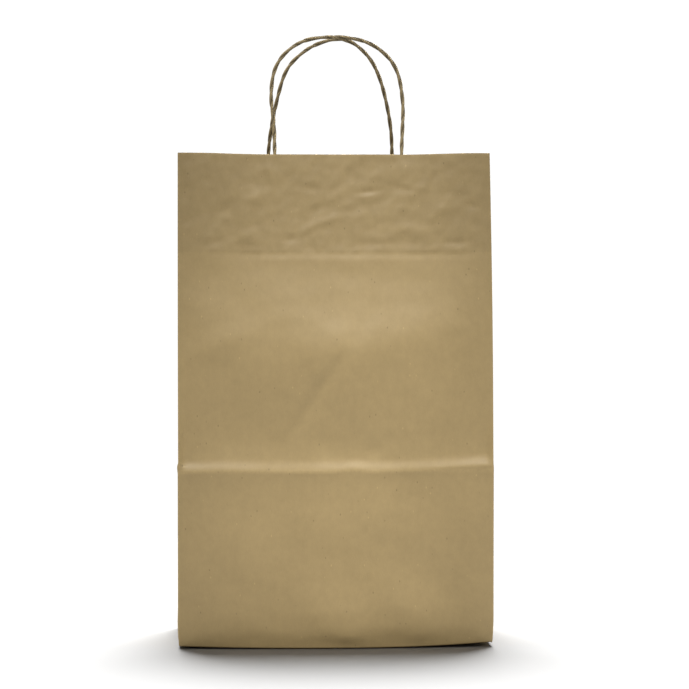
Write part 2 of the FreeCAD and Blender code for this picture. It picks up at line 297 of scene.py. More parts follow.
# ---------------------------------------------------------------- relief of the paper
def pack_fold(v, line, step):
    """The ledge that the pack fold leaves: the paper flares a little, then steps inwards."""
    rise = (v - line) / MM
    flare = 0.9 * np.exp(-np.abs(rise) / 7) * (rise < 0)
    ledge = ease(rise / 9.5)
    back = ease((rise - 11) / 60)
    return np.where(rise < 0, flare, 0.9 * np.exp(-np.abs(rise) / 3) - step * (ledge - back))


def front_relief(a, v):
    """Outward relief of the front, in millimetres: a from the middle, v up the sheet."""
    x, z = a / MM, v
    line = (FOLD_HEIGHT - 3.2 * MM + 3.8 * MM * ease((x - 40) / 70)
            + 0.5 * MM * np.sin(x / 17) + 1.2 * MM * bell(x - 14, 9) - 1.0 * MM * bell(x - 28, 7))
    relief = pack_fold(v, line, 0.85 + 0.3 * np.sin(x / 23 + 1) + 1.3 * np.abs(x / 127) ** 2)
    for rise in FRONT_SWELLS:
        relief += swell(a, z, *rise)
    above = (z - (PANEL_HEIGHT - HEM_DEPTH)) / MM
    glued = ease(above / 2.2)
    middle = ease((x + 82) / 34) * (1 - 0.6 * ease((x - 60) / 60))
    relief += 0.17 * glued + 0.55 * middle * ease(-above / 6) * np.exp(np.minimum(above, 0) / 26)
    relief += glued * (0.13 * ripples(a, z, 7 * MM, 13 * MM, 24, 5)
                       + 0.20 * ripples(a, z, 15 * MM, 30 * MM, 20, 6))
    for rise in FRONT_BLISTERS:
        relief += 1.6 * swell(a, z, *rise)
    relief += 0.42 * ripples(a, z, 45 * MM, 100 * MM, 16, 11) * (1 - 0.5 * glued)
    relief += 0.085 * ripples(a, z, 14 * MM, 32 * MM, 22, 12)
    relief += 0.016 * ripples(a, z, 4.5 * MM, 9 * MM, 26, 13)
    return relief


def back_relief(a, v):
    """Outward relief of the back, in millimetres: a calmer sheet than the front."""
    relief = pack_fold(v, FOLD_HEIGHT - 1.5 * MM + 1.0 * MM * np.sin(a / (26 * MM)), 2.2)
    glued = ease((v - (PANEL_HEIGHT - HEM_DEPTH)) / (3 * MM))
    relief += 0.16 * glued + glued * 0.17 * ripples(a, v, 7 * MM, 17 * MM, 24, 25)
    relief += 0.6 * ripples(a, v, 50 * MM, 120 * MM, 16, 21) * (1 - 0.6 * glued)
    relief += 0.10 * ripples(a, v, 14 * MM, 34 * MM, 20, 22)
    relief += 0.8 * np.exp(-np.abs(v - HALF_DEPTH) / (7 * MM))
    return relief


def gusset_relief(a, v, seed):
    """Outward relief of a gusset: the crease down its middle and the triangle at its foot."""
    spread = ease((v - HALF_DEPTH) / (10 * MM))
    centre = -1.3 * np.exp(-np.abs(a) / (6 * MM)) * spread
    foot = np.abs(v - (HALF_DEPTH - np.abs(a))) / math.sqrt(2)
    triangle = 0.7 * np.exp(-foot / (4 * MM)) * (1 - ease((v - HALF_DEPTH) / (2 * MM)))
    level = 0.5 * np.exp(-np.abs(v - HALF_DEPTH) / (5 * MM)) * (a < 0)
    fold = 0.9 * np.exp(-np.abs(v - FOLD_HEIGHT) / (9 * MM))
    relief = centre + triangle + level + fold
    relief += 0.5 * ripples(a, v, 40 * MM, 90 * MM, 14, seed)
    relief += 0.09 * ripples(a, v, 12 * MM, 30 * MM, 18, seed + 1)
    return relief


def relief_at(s, v):
    """Outward relief over the whole sheet, in metres, faded out at the corner folds."""
    total = np.zeros_like(s)
    wall = ease(v / (10 * MM))
    for panel, shape in ((LEFT, lambda a, v: gusset_relief(a, v, 41)), (FRONT, front_relief),
                         (RIGHT, lambda a, v: gusset_relief(a, v, 51)), (BACK, back_relief)):
        a = along(s, panel)
        here = np.abs(a) < panel.half
        fade = ease((panel.half - np.abs(a[here])) / (7 * MM))
        total[here] = shape(a[here], v[here]) * fade
    return total * wall * MM


# ---------------------------------------------------------------- sheet meshes
def kept_inside(s, s_line):
    """The columns of a base flap, drawn in so that none crosses into the next panel's flap."""
    panel = next(p for p in PANELS if p.start <= np.median(s_line) < p.end)
    inside = np.clip(s, panel.start + 0.1 * MM, panel.end - 0.1 * MM)
    return inside + 0.05 * (s - inside)


def surface(s_line, v_line, relief=relief_at):
    """Points and outward normals of the sheet's outer face over a grid, shape (v, s, 3)."""
    ghost = 0.3 * MM
    s_all = np.concatenate([[s_line[0] - ghost], s_line, [s_line[-1] + ghost]])
    v_all = np.concatenate([[v_line[0] - ghost], v_line, [v_line[-1] + ghost]])
    s, v = np.meshgrid(s_all, v_all)
    if v_line[0] < 0:
        s = np.where(v < -MM, kept_inside(s, s_line), s)
    point = settled(rounded(s, v))
    normal = np.cross(np.gradient(point, axis=1), np.gradient(point, axis=0))
    normal /= np.linalg.norm(normal, axis=-1, keepdims=True)
    point = point + normal * relief(s, v)[..., None]
    return point[1:-1, 1:-1], normal[1:-1, 1:-1]


def steps(start, end, size):
    count = max(1, round(abs(end - start) / size))
    return np.linspace(start, end, count + 1)


def panel_columns(panel, size):
    """Columns across a panel, closer together beside its corner folds."""
    near = np.array((0.0, 0.35, 0.75, 1.25, 2.0)) * MM
    inner = steps(panel.start + 2 * MM, panel.end - 2 * MM, size)[1:-1]
    return np.concatenate([panel.start + near, inner, (panel.end - near)[::-1]])


def closed_sheet(name, outside, inside, uv, attributes):
    """A closed thin shell from two grids of points, shape (rows, columns, 3)."""
    rows, cols = outside.shape[:2]
    index = np.arange(rows * cols).reshape(rows, cols)
    quads = np.stack([index[:-1, :-1], index[:-1, 1:], index[1:, 1:], index[1:, :-1]], axis=-1)
    outer = quads.reshape(-1, 4)
    inner = outer[:, ::-1] + rows * cols
    rim = np.concatenate([index[0, :], index[1:, -1], index[-1, -2::-1], index[-2:0:-1, 0]])
    following = np.roll(rim, -1)
    edge = np.stack([following, rim, rim + rows * cols, following + rows * cols], axis=-1)
    faces = np.concatenate([outer, inner, edge])
    mesh = bpy.data.meshes.new(name)
    points = np.concatenate([outside.reshape(-1, 3), inside.reshape(-1, 3)])
    mesh.from_pydata(points.tolist(), [], faces.tolist())
    uv_points = np.concatenate([uv.reshape(-1, 2)] * 2)
    layer = mesh.uv_layers.new(name="sheet")
    loops = np.zeros(len(mesh.loops), np.int32)
    mesh.loops.foreach_get("vertex_index", loops)
    layer.data.foreach_set("uv", uv_points[loops].astype(np.float32).ravel())
    for word, values in attributes.items():
        both = np.concatenate([values.ravel()] * 2).astype(np.float32)
        mesh.attributes.new(word, "FLOAT", "POINT").data.foreach_set("value", both)
    mesh.shade_smooth()
    mesh.update()
    piece = bpy.data.objects.new(name, mesh)
    bpy.context.scene.collection.objects.link(piece)
    return piece


def wear_at(s, v):
    """How rubbed the paper is: along the corner folds, the pack fold and the mouth's edge."""
    corner = np.zeros_like(s)
    for panel in PANELS:
        corner = np.maximum(corner, bell(np.abs(along(s, panel)) - panel.half, 1.1 * MM))
        if panel.gusset:
            a = along(s, panel)
            middle = bell(a, 0.9 * MM) * ease((v - HALF_DEPTH) / (6 * MM))
            foot = bell((v - HALF_DEPTH + np.abs(a)) / math.sqrt(2), 0.8 * MM) * (np.abs(a) < HALF_DEPTH)
            corner = np.maximum(corner, np.maximum(middle, foot) * 0.7)
    worn = np.maximum(corner * 0.8, bell(v - PANEL_HEIGHT, 1.0 * MM))
    worn = np.maximum(worn, 0.75 * bell(v - FOLD_HEIGHT + 3.0 * MM, 1.5 * MM))
    return np.maximum(worn, 0.6 * bell(v, 1.0 * MM))


def hem_rows(hem):
    """Levels over the mouth and down the hem, which are v and depth for both faces."""
    outer_turn = HEM_LEVEL / 2 + PAPER / 2
    inner_turn = HEM_AIR / 2
    turn = np.linspace(0, math.pi, 9)[1:-1]
    v_out = np.concatenate([PANEL_HEIGHT - 0.3 * MM + outer_turn * np.sin(turn), hem])
    d_out = np.concatenate([outer_turn * (1 - np.cos(turn)), np.full(len(hem), 2 * outer_turn)])
    v_in = np.concatenate([PANEL_HEIGHT - 0.3 * MM + inner_turn * np.sin(turn), hem])
    d_in = np.concatenate([PAPER + inner_turn * (1 - np.cos(turn)),
                           np.full(len(hem), PAPER + 2 * inner_turn)])
    return v_out, d_out, v_in, d_in


def wall_sheet(name, columns, row_step, flap_level):
    """One side of the bag in a single sheet: base flap, wall, and hem turned in at the mouth."""
    flap = steps(-FLAP_REACH, -2.0 * MM, 3.0 * MM)
    foot = np.linspace(-2.0, 3.0, 11)[1:-1] * MM
    single = steps(3.0 * MM, PANEL_HEIGHT - HEM_DEPTH, row_step)
    double = steps(PANEL_HEIGHT - HEM_DEPTH, PANEL_HEIGHT - 0.3 * MM, row_step)
    v_low = np.concatenate([flap, foot, single, double[1:]])
    level = flap_level(-v_low) * (1 - ease((v_low + 1.0 * MM) / (4 * MM)))
    v_out, d_out, v_in, d_in = hem_rows(double[::-1])
    rows = np.round(np.concatenate([v_low, v_out, v_low, v_in]), 9)
    levels, row = np.unique(rows, return_inverse=True)
    point, normal = surface(columns, levels)
    depth = np.concatenate([level, d_out, level + PAPER, d_in])
    both = point[row] - normal[row] * depth[:, None, None]
    outside, inside = np.split(both, 2)
    s, v = np.meshgrid(columns, np.concatenate([v_low, v_out]))
    _, flat_v = np.meshgrid(columns, np.concatenate([v_low, 2 * PANEL_HEIGHT - v_out]))
    glued = ease((v - (PANEL_HEIGHT - HEM_DEPTH)) / (2 * MM))
    piece = closed_sheet(name, outside, inside, np.stack([s, flat_v], axis=-1),
                         {"wear": wear_at(s, v), "glued": glued})
    return piece


def seam_strip():
    """The sheet's glue flap, pasted inside the back next to the left gusset."""
    columns = steps(-SEAM_WIDTH, -0.9 * MM, 2.2 * MM)
    rows = steps(3.0 * MM, PANEL_HEIGHT - HEM_DEPTH - 0.6 * MM, 2.2 * MM)
    point, normal = surface(columns, rows)
    outside = point - normal * (PAPER + 0.02 * MM)
    inside = point - normal * (2 * PAPER + 0.02 * MM)
    s, v = np.meshgrid(columns, rows)
    return closed_sheet("seam_strip", outside, inside, np.stack([s, v], axis=-1),
                        {"wear": 0 * s, "glued": 0 * s + 0.5})


def corner_ply(name, side, rear):
    """A base flap's end, turned back over it along its 45 degree fold."""
    edge, reach = HALF_WIDTH - 2.0 * MM, HALF_WIDTH - FLAP_REACH
    low, top = HALF_DEPTH - 2.0 * MM, BASE_OVERLAP + 1.0 * MM
    share, across = np.meshgrid(np.linspace(0, 1, 25), np.linspace(0, 1, 23))
    y = low + (top - low) * share
    outer = edge - (low - y)
    x = outer + (reach - outer) * across
    flat = np.stack([side * x, rear * y, 0 * x], axis=-1)
    if side * rear > 0:
        flat = flat[:, ::-1]
    lifted = settled(flat)
    outside = lifted + UP * (PAPER + 0.01 * MM)
    inside = lifted + UP * (2 * PAPER - 0.01 * MM)
    return closed_sheet(name, outside, inside, flat[..., :2], {"wear": 0 * x, "glued": 0 * x + 0.4})


# ---------------------------------------------------------------- patches over the cord's legs
def patch_columns(centre):
    """Columns across a patch, closer together over the two legs."""
    fine = np.array((-5.5, -4.6, -3.8, -3.2, -2.7, -2.2, -1.8, -1.4, -1.0, -0.5, 0, 0.5, 1.0, 1.4, 1.8,
                     2.2, 2.7, 3.2, 3.8, 4.6, 5.5)) * MM
    legs = (centre - CORD_PITCH / 2, centre + CORD_PITCH / 2)
    edges = (centre - PATCH_WIDTH / 2, centre + PATCH_WIDTH / 2)
    left = steps(edges[0], legs[0] + fine[0], 2.2 * MM)[:-1]
    middle = steps(legs[0] + fine[-1], legs[1] + fine[0], 2.4 * MM)[1:-1]
    right = steps(legs[1] + fine[-1], edges[1], 2.2 * MM)[1:]
    return np.concatenate([left, legs[0] + fine, middle, legs[1] + fine, right])


def patch_piece(name, side, formed):
    """One ply of a reinforcing patch, flat on the hem or formed over the cord's two legs."""
    panel = FRONT if side == "front" else BACK
    sign = 1 if side == "front" else -1
    centre = sign * CORD_CENTRES[side]
    columns = patch_columns(centre)
    rows = steps(-PATCH_DROP - PATCH_HEIGHT, -PATCH_DROP, 1.4 * MM)
    point, normal = surface(panel.middle + columns, PANEL_HEIGHT + rows)
    a, up = np.meshgrid(columns, rows)
    bed = HEM_LEVEL + PAPER + 0.03 * MM
    cockle = 0.10 * MM * (ripples(a, up, 8 * MM, 20 * MM, 22, 61 + formed) + 1) * formed
    level = bed + formed * (PAPER + 0.03 * MM) + cockle
    if formed:
        plane = HALF_MOUTH - up * math.sin(LEAN)
        stands = (np.abs(point[..., 1]) - plane) * math.cos(LEAN)
        crown = 3 * PAPER + CORD_DIAMETER + 0.14 * MM + stands
        beside = np.minimum(np.abs(a - centre + CORD_PITCH / 2), np.abs(a - centre - CORD_PITCH / 2))
        level = level + (crown - level) * (1 - ease((beside - 1.3 * MM) / (3.0 * MM)))
    outside = point - normal * level[..., None]
    inside = point - normal * (level + PAPER)[..., None]
    piece = closed_sheet(name, outside, inside, np.stack([a, up], axis=-1),
                         {"wear": 0 * a, "glued": 0 * a + 0.3})
    return piece


# ---------------------------------------------------------------- materials
def new_material(name):
    material = bpy.data.materials.new(name)
    material.use_nodes = True
    tree = material.node_tree
    tree.nodes.clear()
    out = tree.nodes.new("ShaderNodeOutputMaterial")
    shader = tree.nodes.new("ShaderNodeBsdfPrincipled")
    tree.links.new(shader.outputs["BSDF"], out.inputs["Surface"])
    return material, tree, shader


def paper(name, light, dark, gloss):
    """Brown kraft paper on the flat sheet's own coordinates, in metres across and along."""
    material, tree, shader = new_material(name)
    nodes, links = tree.nodes, tree.links

    def put(kind, **settings):
        made = nodes.new(kind)
        for key, value in settings.items():
            setattr(made, key, value)
        return made

    def join(source, node, place):
        links.new(source, node.inputs[place])

    def stretched(scale_across, scale_along, turn, detail, rough):
        mapping = put("ShaderNodeMapping")
        mapping.inputs["Scale"].default_value = (scale_across, scale_along, 1)
        mapping.inputs["Rotation"].default_value = (0, 0, turn)
        join(place.outputs["UV"], mapping, "Vector")
        noise = put("ShaderNodeTexNoise")
        noise.inputs["Scale"].default_value = 1
        noise.inputs["Detail"].default_value = detail
        noise.inputs["Roughness"].default_value = rough
        join(mapping.outputs["Vector"], noise, "Vector")
        return noise.outputs["Fac"]

    def spread(value, low, high, to_low=0.0, to_high=1.0):
        made = put("ShaderNodeMapRange")
        limits = {"From Min": low, "From Max": high, "To Min": to_low, "To Max": to_high}
        for key, number in limits.items():
            made.inputs[key].default_value = number
        join(value, made, "Value")
        return made.outputs["Result"]

    def maths(operation, first, second):
        made = put("ShaderNodeMath", operation=operation)
        for index, value in enumerate((first, second)):
            if isinstance(value, (int, float)):
                made.inputs[index].default_value = value
            else:
                join(value, made, index)
        return made.outputs[0]

    def blend(share, first, second, mode="MIX"):
        made = put("ShaderNodeMix", data_type="RGBA", blend_type=mode)
        for key, value in ((0, share), (6, first), (7, second)):
            if isinstance(value, (int, float)):
                made.inputs[key].default_value = value
            elif isinstance(value, tuple):
                made.inputs[key].default_value = (*value, 1)
            else:
                join(value, made, key)
        return made.outputs[2]

    place = put("ShaderNodeUVMap", uv_map="sheet")
    wear = put("ShaderNodeAttribute", attribute_name="wear").outputs["Fac"]
    glued = put("ShaderNodeAttribute", attribute_name="glued").outputs["Fac"]

    cloud = stretched(14, 9, 0.3, 3, 0.55)
    formation = stretched(170, 120, 0.0, 5, 0.62)
    fibre_up = stretched(2600, 330, 0.05, 4, 0.6)
    fibre_over = stretched(1500, 300, 0.9, 3, 0.6)
    fibre_under = stretched(1500, 300, -0.8, 3, 0.6)
    streak = stretched(240, 5, 0.0, 3, 0.6)
    fibres = maths("ADD", maths("MULTIPLY", fibre_up, 0.5),
                   maths("MULTIPLY", maths("ADD", fibre_over, fibre_under), 0.25))
    tone = maths("ADD", maths("MULTIPLY", spread(cloud, 0.3, 0.7), 0.32),
                 maths("MULTIPLY", spread(formation, 0.3, 0.7), 0.32))
    tone = maths("ADD", tone, maths("MULTIPLY", spread(fibres, 0.34, 0.66), 0.30))
    tone = maths("ADD", tone, maths("MULTIPLY", spread(streak, 0.3, 0.7), 0.06))
    body = blend(tone, dark, light)

    fleck_map = put("ShaderNodeMapping")
    fleck_map.inputs["Scale"].default_value = (420, 210, 1)
    join(place.outputs["UV"], fleck_map, "Vector")
    cells = put("ShaderNodeTexVoronoi", feature="F1")
    cells.inputs["Scale"].default_value = 1
    join(fleck_map.outputs["Vector"], cells, "Vector")
    chosen = put("ShaderNodeSeparateColor")
    join(cells.outputs["Color"], chosen, "Color")
    rare = spread(chosen.outputs["Red"], 0.955, 0.965)
    dot = spread(cells.outputs["Distance"], 0.12, 0.24, 1, 0)
    specks = maths("MULTIPLY", maths("MULTIPLY", rare, dot), 0.55)
    body = blend(specks, body, tuple(0.42 * c for c in dark))
    pale = spread(chosen.outputs["Green"], 0.975, 0.985)
    slivers = maths("MULTIPLY", maths("MULTIPLY", pale, dot), 0.4)
    body = blend(slivers, body, tuple(min(1, 1.5 * c) for c in light))

    # The glued hem and the pasted plies are darker, in mottled patches.
    glued_mottle = spread(stretched(60, 60, 0.4, 4, 0.6), 0.42, 0.66)
    glued_darkening = maths("MULTIPLY", glued, maths("ADD", maths("MULTIPLY", glued_mottle, 0.10), 0.12))
    body = blend(glued_darkening, body, tuple(0.62 * c for c in dark))
    scuffed = maths("MULTIPLY", wear, spread(stretched(420, 420, 0.2, 4, 0.65), 0.38, 0.62, 0.25, 1.0))
    body = blend(maths("MULTIPLY", scuffed, 0.42), body, tuple(min(1, 1.28 * c) for c in light))
    join(body, shader, "Base Color")

    join(spread(fibres, 0.3, 0.7, gloss + 0.09, gloss - 0.05), shader, "Roughness")
    shader.inputs["Specular IOR Level"].default_value = 0.5
    grain = maths("ADD", maths("MULTIPLY", fibres, 0.7), maths("MULTIPLY", formation, 0.3))
    bump = put("ShaderNodeBump")
    bump.inputs["Strength"].default_value = 0.55
    bump.inputs["Distance"].default_value = 0.00012
    join(grain, bump, "Height")
    join(bump.outputs["Normal"], shader, "Normal")
    return material


def twisted_paper(name, light, dark):
    """Twisted kraft paper: streaks along each ply, and painted shade down in the grooves."""
    material, tree, shader = new_material(name)
    nodes, links = tree.nodes, tree.links
    crown = nodes.new("ShaderNodeAttribute")
    crown.attribute_name = "crown"
    side = nodes.new("ShaderNodeAttribute")
    side.attribute_name = "side"
    length = nodes.new("ShaderNodeAttribute")
    length.attribute_name = "length"
    split = nodes.new("ShaderNodeSeparateXYZ")
    links.new(side.outputs["Vector"], split.inputs[0])
    place = nodes.new("ShaderNodeCombineXYZ")
    links.new(split.outputs["X"], place.inputs["X"])
    links.new(split.outputs["Y"], place.inputs["Y"])
    links.new(length.outputs["Fac"], place.inputs["Z"])

    def streaks(across, lengthwise, detail):
        mapping = nodes.new("ShaderNodeMapping")
        mapping.inputs["Scale"].default_value = (across, across, lengthwise)
        links.new(place.outputs["Vector"], mapping.inputs["Vector"])
        noise = nodes.new("ShaderNodeTexNoise")
        noise.inputs["Scale"].default_value = 1
        noise.inputs["Detail"].default_value = detail
        links.new(mapping.outputs["Vector"], noise.inputs["Vector"])
        return noise.outputs["Fac"]

    def ranged(value, low, high, to_low, to_high):
        made = nodes.new("ShaderNodeMapRange")
        limits = {"From Min": low, "From Max": high, "To Min": to_low, "To Max": to_high}
        for key, number in limits.items():
            made.inputs[key].default_value = number
        links.new(value, made.inputs["Value"])
        return made.outputs["Result"]

    def mixed(share, first, second):
        made = nodes.new("ShaderNodeMix")
        made.data_type = "RGBA"
        links.new(share, made.inputs[0])
        for key, value in ((6, first), (7, second)):
            if isinstance(value, tuple):
                made.inputs[key].default_value = (*value, 1)
            else:
                links.new(value, made.inputs[key])
        return made.outputs[2]

    fine, broad = streaks(9, 120, 4), streaks(1.2, 60, 2)
    body = mixed(ranged(fine, 0.32, 0.68, 0, 1), dark, light)
    body = mixed(ranged(broad, 0.35, 0.7, 0, 0.55), body, tuple(0.7 * c for c in dark))
    # Painted shade: the colour darkens from the crown of each ply down into the grooves between plies.
    body = mixed(ranged(crown.outputs["Fac"], 0.15, 0.8, 0.85, 0), body, tuple(0.3 * c for c in dark))
    links.new(body, shader.inputs["Base Color"])
    shader.inputs["Roughness"].default_value = 0.62
    shader.inputs["Specular IOR Level"].default_value = 0.4
    bump = nodes.new("ShaderNodeBump")
    bump.inputs["Strength"].default_value = 0.6
    bump.inputs["Distance"].default_value = 0.0002
    links.new(fine, bump.inputs["Height"])
    links.new(bump.outputs["Normal"], shader.inputs["Normal"])
    return material


KRAFT = paper("brown_kraft_sheet", (0.42, 0.304, 0.138), (0.32, 0.230, 0.101), 0.54)
PATCH_KRAFT = paper("patch_kraft_sheet", (0.41, 0.30, 0.155), (0.31, 0.223, 0.11), 0.62)
CORD_KRAFT = twisted_paper("twisted_kraft_cord", (0.43, 0.33, 0.17), (0.23, 0.172, 0.082))


def dress(piece, material, body, slot, *nodes):
    piece.data.materials.clear()
    piece.data.materials.append(material)
    if body:
        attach(piece, body)
    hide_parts(*nodes)
    return piece


# ---------------------------------------------------------------- the pieces
def make_walls():
    columns = panel_columns(FRONT, 1.85 * MM)
    front = wall_sheet("front_sheet", columns, 1.7 * MM, lambda under: 0 * under)
    dress(front, KRAFT, "bag", "sheet_kraft", "front_panel_lower", "front_panel_upper", "front_hem",
          "base_front_flap")
    columns = panel_columns(BACK, 2.2 * MM)
    columns = np.concatenate([columns[columns < RING - 1.4 * MM], [RING - 1.3 * MM]])
    lap = HALF_DEPTH - BASE_OVERLAP - 1.5 * MM
    back = wall_sheet("back_sheet", columns, 1.9 * MM, lambda under: PAPER * ease((under - lap) / MM))
    dress(back, KRAFT, "bag", "sheet_kraft", "back_panel_lower", "back_panel_upper", "back_hem",
          "base_back_flap")
    for side, panel in (("left", LEFT), ("right", RIGHT)):
        columns = panel_columns(panel, 2.0 * MM)
        if side == "left":
            columns = np.concatenate([[-1.1 * MM, -0.75 * MM, -0.35 * MM], columns])
        gusset = wall_sheet(f"{side}_gusset_sheet", columns, 1.9 * MM,
                            lambda under: 2 * PAPER + 0 * under)
        dress(gusset, KRAFT, "bag", "sheet_kraft", f"{side}_gusset_lower", f"{side}_gusset_centre",
              f"{side}_gusset_front_wing", f"{side}_gusset_back_wing", f"{side}_gusset_hem",
              f"base_{side}_tuck")
    dress(seam_strip(), KRAFT, "bag", "sheet_kraft", "seam_flap")
    for side, sign in (("left", -1), ("right", 1)):
        for rear, along_y in (("front", -1), ("back", 1)):
            name = f"base_{side}_{rear}_corner"
            dress(corner_ply(name, sign, along_y), KRAFT, "bag", "sheet_kraft", name + "_fold")


def make_patches():
    for side in ("front", "back"):
        for word, formed in (("flat", 0), ("formed", 1)):
            piece = patch_piece(f"{side}_patch_{word}", side, formed)
            dress(piece, PATCH_KRAFT, "bag", "patch_kraft", f"{side}_patch_{word}_ply")


def cord_spline(side):
    """The route of one cord, foot of its left leg to foot of its right leg, as points."""
    sign = -1 if side == "front" else 1
    route = FRONT_ROUTE if side == "front" else BACK_ROUTE
    joint = next(j for j in frame["joints"] if j["name"] == f"{side}_handle_fold")
    _, bend_y, bend_z = joint["pos_m"]
    lean = Vector((0, -sign * math.sin(LEAN), math.cos(LEAN)))
    loop = [Vector((x, bend_y - sign * inward, bend_z + rise)) for x, inward, rise in route]
    down = (LEG_LENGTH, 0.62 * LEG_LENGTH, 0.22 * LEG_LENGTH)
    left = [loop[0] - lean * d for d in down]
    right = [loop[-1] - lean * d for d in reversed(down)]
    points = left + loop + right
    curve = bpy.data.curves.new(f"{side}_cord_route", "CURVE")
    curve.dimensions = "3D"
    curve.resolution_u = 14
    spline = curve.splines.new("NURBS")
    spline.points.add(len(points) - 1)
    for place, p in zip(spline.points, points):
        place.co = (*p, 1.0)
    spline.order_u = 3
    spline.use_endpoint_u = True
    holder = bpy.data.objects.new(curve.name, curve)
    line = bpy.data.meshes.new_from_object(holder)
    bpy.data.objects.remove(holder)
    return line


def socket(tree, label, kind, value=None):
    made = tree.interface.new_socket(label, in_out="INPUT", socket_type=kind)
    if value is not None:
        made.default_value = value
    return made.identifier


SECTION_POINTS = 30


def twisted_cord_tree():
    """Geometry nodes: plies laid round a line, as one grooved section turned along its length."""
    tree = bpy.data.node_groups.new("twisted_cord", "GeometryNodeTree")
    names = {
        "line": socket(tree, "Line", "NodeSocketGeometry"),
        "diameter": socket(tree, "Diameter", "NodeSocketFloat", CORD_DIAMETER),
        "groove": socket(tree, "Groove Depth", "NodeSocketFloat", 0.46 * MM),
        "lay": socket(tree, "Lay Length", "NodeSocketFloat", 26 * MM),
        "step": socket(tree, "Step", "NodeSocketFloat", 0.8 * MM),
        "uneven": socket(tree, "Unevenness", "NodeSocketFloat", 0.09),
        "material": socket(tree, "Material", "NodeSocketMaterial"),
    }
    tree.interface.new_socket("Cord", in_out="OUTPUT", socket_type="NodeSocketGeometry")
    nodes, links = tree.nodes, tree.links

    def node(kind, **settings):
        made = nodes.new(kind)
        for key, value in settings.items():
            setattr(made, key, value)
        return made

    def maths(operation, first, second=None):
        made = node("ShaderNodeMath", operation=operation)
        for place, value in enumerate((first, second)):
            if value is None:
                continue
            if isinstance(value, (int, float)):
                made.inputs[place].default_value = value
            else:
                links.new(value, made.inputs[place])
        return made.outputs[0]

    given = node("NodeGroupInput")
    line = node("GeometryNodeMeshToCurve")
    links.new(given.outputs["Line"], line.inputs["Mesh"])
    even = node("GeometryNodeResampleCurve", mode="LENGTH")
    links.new(line.outputs["Curve"], even.inputs["Curve"])
    links.new(given.outputs["Step"], even.inputs["Length"])
    where = node("GeometryNodeSplineParameter")
    lumps = node("ShaderNodeTexNoise", noise_dimensions="1D")
    lumps.inputs["Scale"].default_value = 75
    lumps.inputs["Detail"].default_value = 2
    links.new(where.outputs["Length"], lumps.inputs["W"])
    drift = maths("SUBTRACT", lumps.outputs["Fac"], 0.5)
    lays = maths("DIVIDE", where.outputs["Length"], given.outputs["Lay Length"])
    turn = maths("MULTIPLY", lays, 2 * math.pi)
    turn = maths("ADD", turn, maths("MULTIPLY", drift, 2.2))
    tilt = node("GeometryNodeSetCurveTilt")
    links.new(even.outputs["Curve"], tilt.inputs["Curve"])
    links.new(turn, tilt.inputs["Tilt"])
    keep_length = node("GeometryNodeStoreNamedAttribute", data_type="FLOAT", domain="POINT")
    keep_length.inputs["Name"].default_value = "length"
    links.new(tilt.outputs["Curve"], keep_length.inputs["Geometry"])
    links.new(where.outputs["Length"], keep_length.inputs["Value"])

    ring = node("GeometryNodeCurvePrimitiveCircle")
    ring.inputs["Resolution"].default_value = SECTION_POINTS
    ring.inputs["Radius"].default_value = 1.0
    index = node("GeometryNodeInputIndex")
    angle = maths("MULTIPLY", index.outputs[0], 2 * math.pi / SECTION_POINTS)
    crown = maths("ABSOLUTE", maths("COSINE", angle))
    radius = maths("SUBTRACT", maths("MULTIPLY", given.outputs["Diameter"], 0.5),
                   maths("MULTIPLY", given.outputs["Groove Depth"], maths("SUBTRACT", 1.0, crown)))
    spot = node("ShaderNodeCombineXYZ")
    links.new(maths("MULTIPLY", radius, maths("COSINE", angle)), spot.inputs["X"])
    links.new(maths("MULTIPLY", radius, maths("SINE", angle)), spot.inputs["Y"])
    keep_crown = node("GeometryNodeStoreNamedAttribute", data_type="FLOAT", domain="POINT")
    keep_crown.inputs["Name"].default_value = "crown"
    links.new(ring.outputs["Curve"], keep_crown.inputs["Geometry"])
    links.new(crown, keep_crown.inputs["Value"])
    direction = node("ShaderNodeCombineXYZ")
    links.new(maths("COSINE", angle), direction.inputs["X"])
    links.new(maths("SINE", angle), direction.inputs["Y"])
    keep_side = node("GeometryNodeStoreNamedAttribute", data_type="FLOAT_VECTOR", domain="POINT")
    keep_side.inputs["Name"].default_value = "side"
    links.new(keep_crown.outputs["Geometry"], keep_side.inputs["Geometry"])
    links.new(direction.outputs["Vector"], keep_side.inputs["Value"])
    shape = node("GeometryNodeSetPosition")
    links.new(keep_side.outputs["Geometry"], shape.inputs["Geometry"])
    links.new(spot.outputs["Vector"], shape.inputs["Position"])

    sweep = node("GeometryNodeCurveToMesh")
    sweep.inputs["Fill Caps"].default_value = True
    swing = maths("MULTIPLY", given.outputs["Unevenness"], 2.0)
    thickness = maths("ADD", maths("MULTIPLY", drift, swing), 0.97)
    links.new(thickness, sweep.inputs["Scale"])
    links.new(keep_length.outputs["Geometry"], sweep.inputs["Curve"])
    links.new(shape.outputs["Geometry"], sweep.inputs["Profile Curve"])
    smooth = node("GeometryNodeSetShadeSmooth")
    links.new(sweep.outputs["Mesh"], smooth.inputs["Geometry"])
    real = node("GeometryNodeRealizeInstances")
    links.new(smooth.outputs["Geometry"], real.inputs["Geometry"])
    finish = node("GeometryNodeSetMaterial")
    links.new(real.outputs["Geometry"], finish.inputs["Geometry"])
    links.new(given.outputs["Material"], finish.inputs["Material"])
    out = node("NodeGroupOutput")
    links.new(finish.outputs["Geometry"], out.inputs[0])
    return tree, names


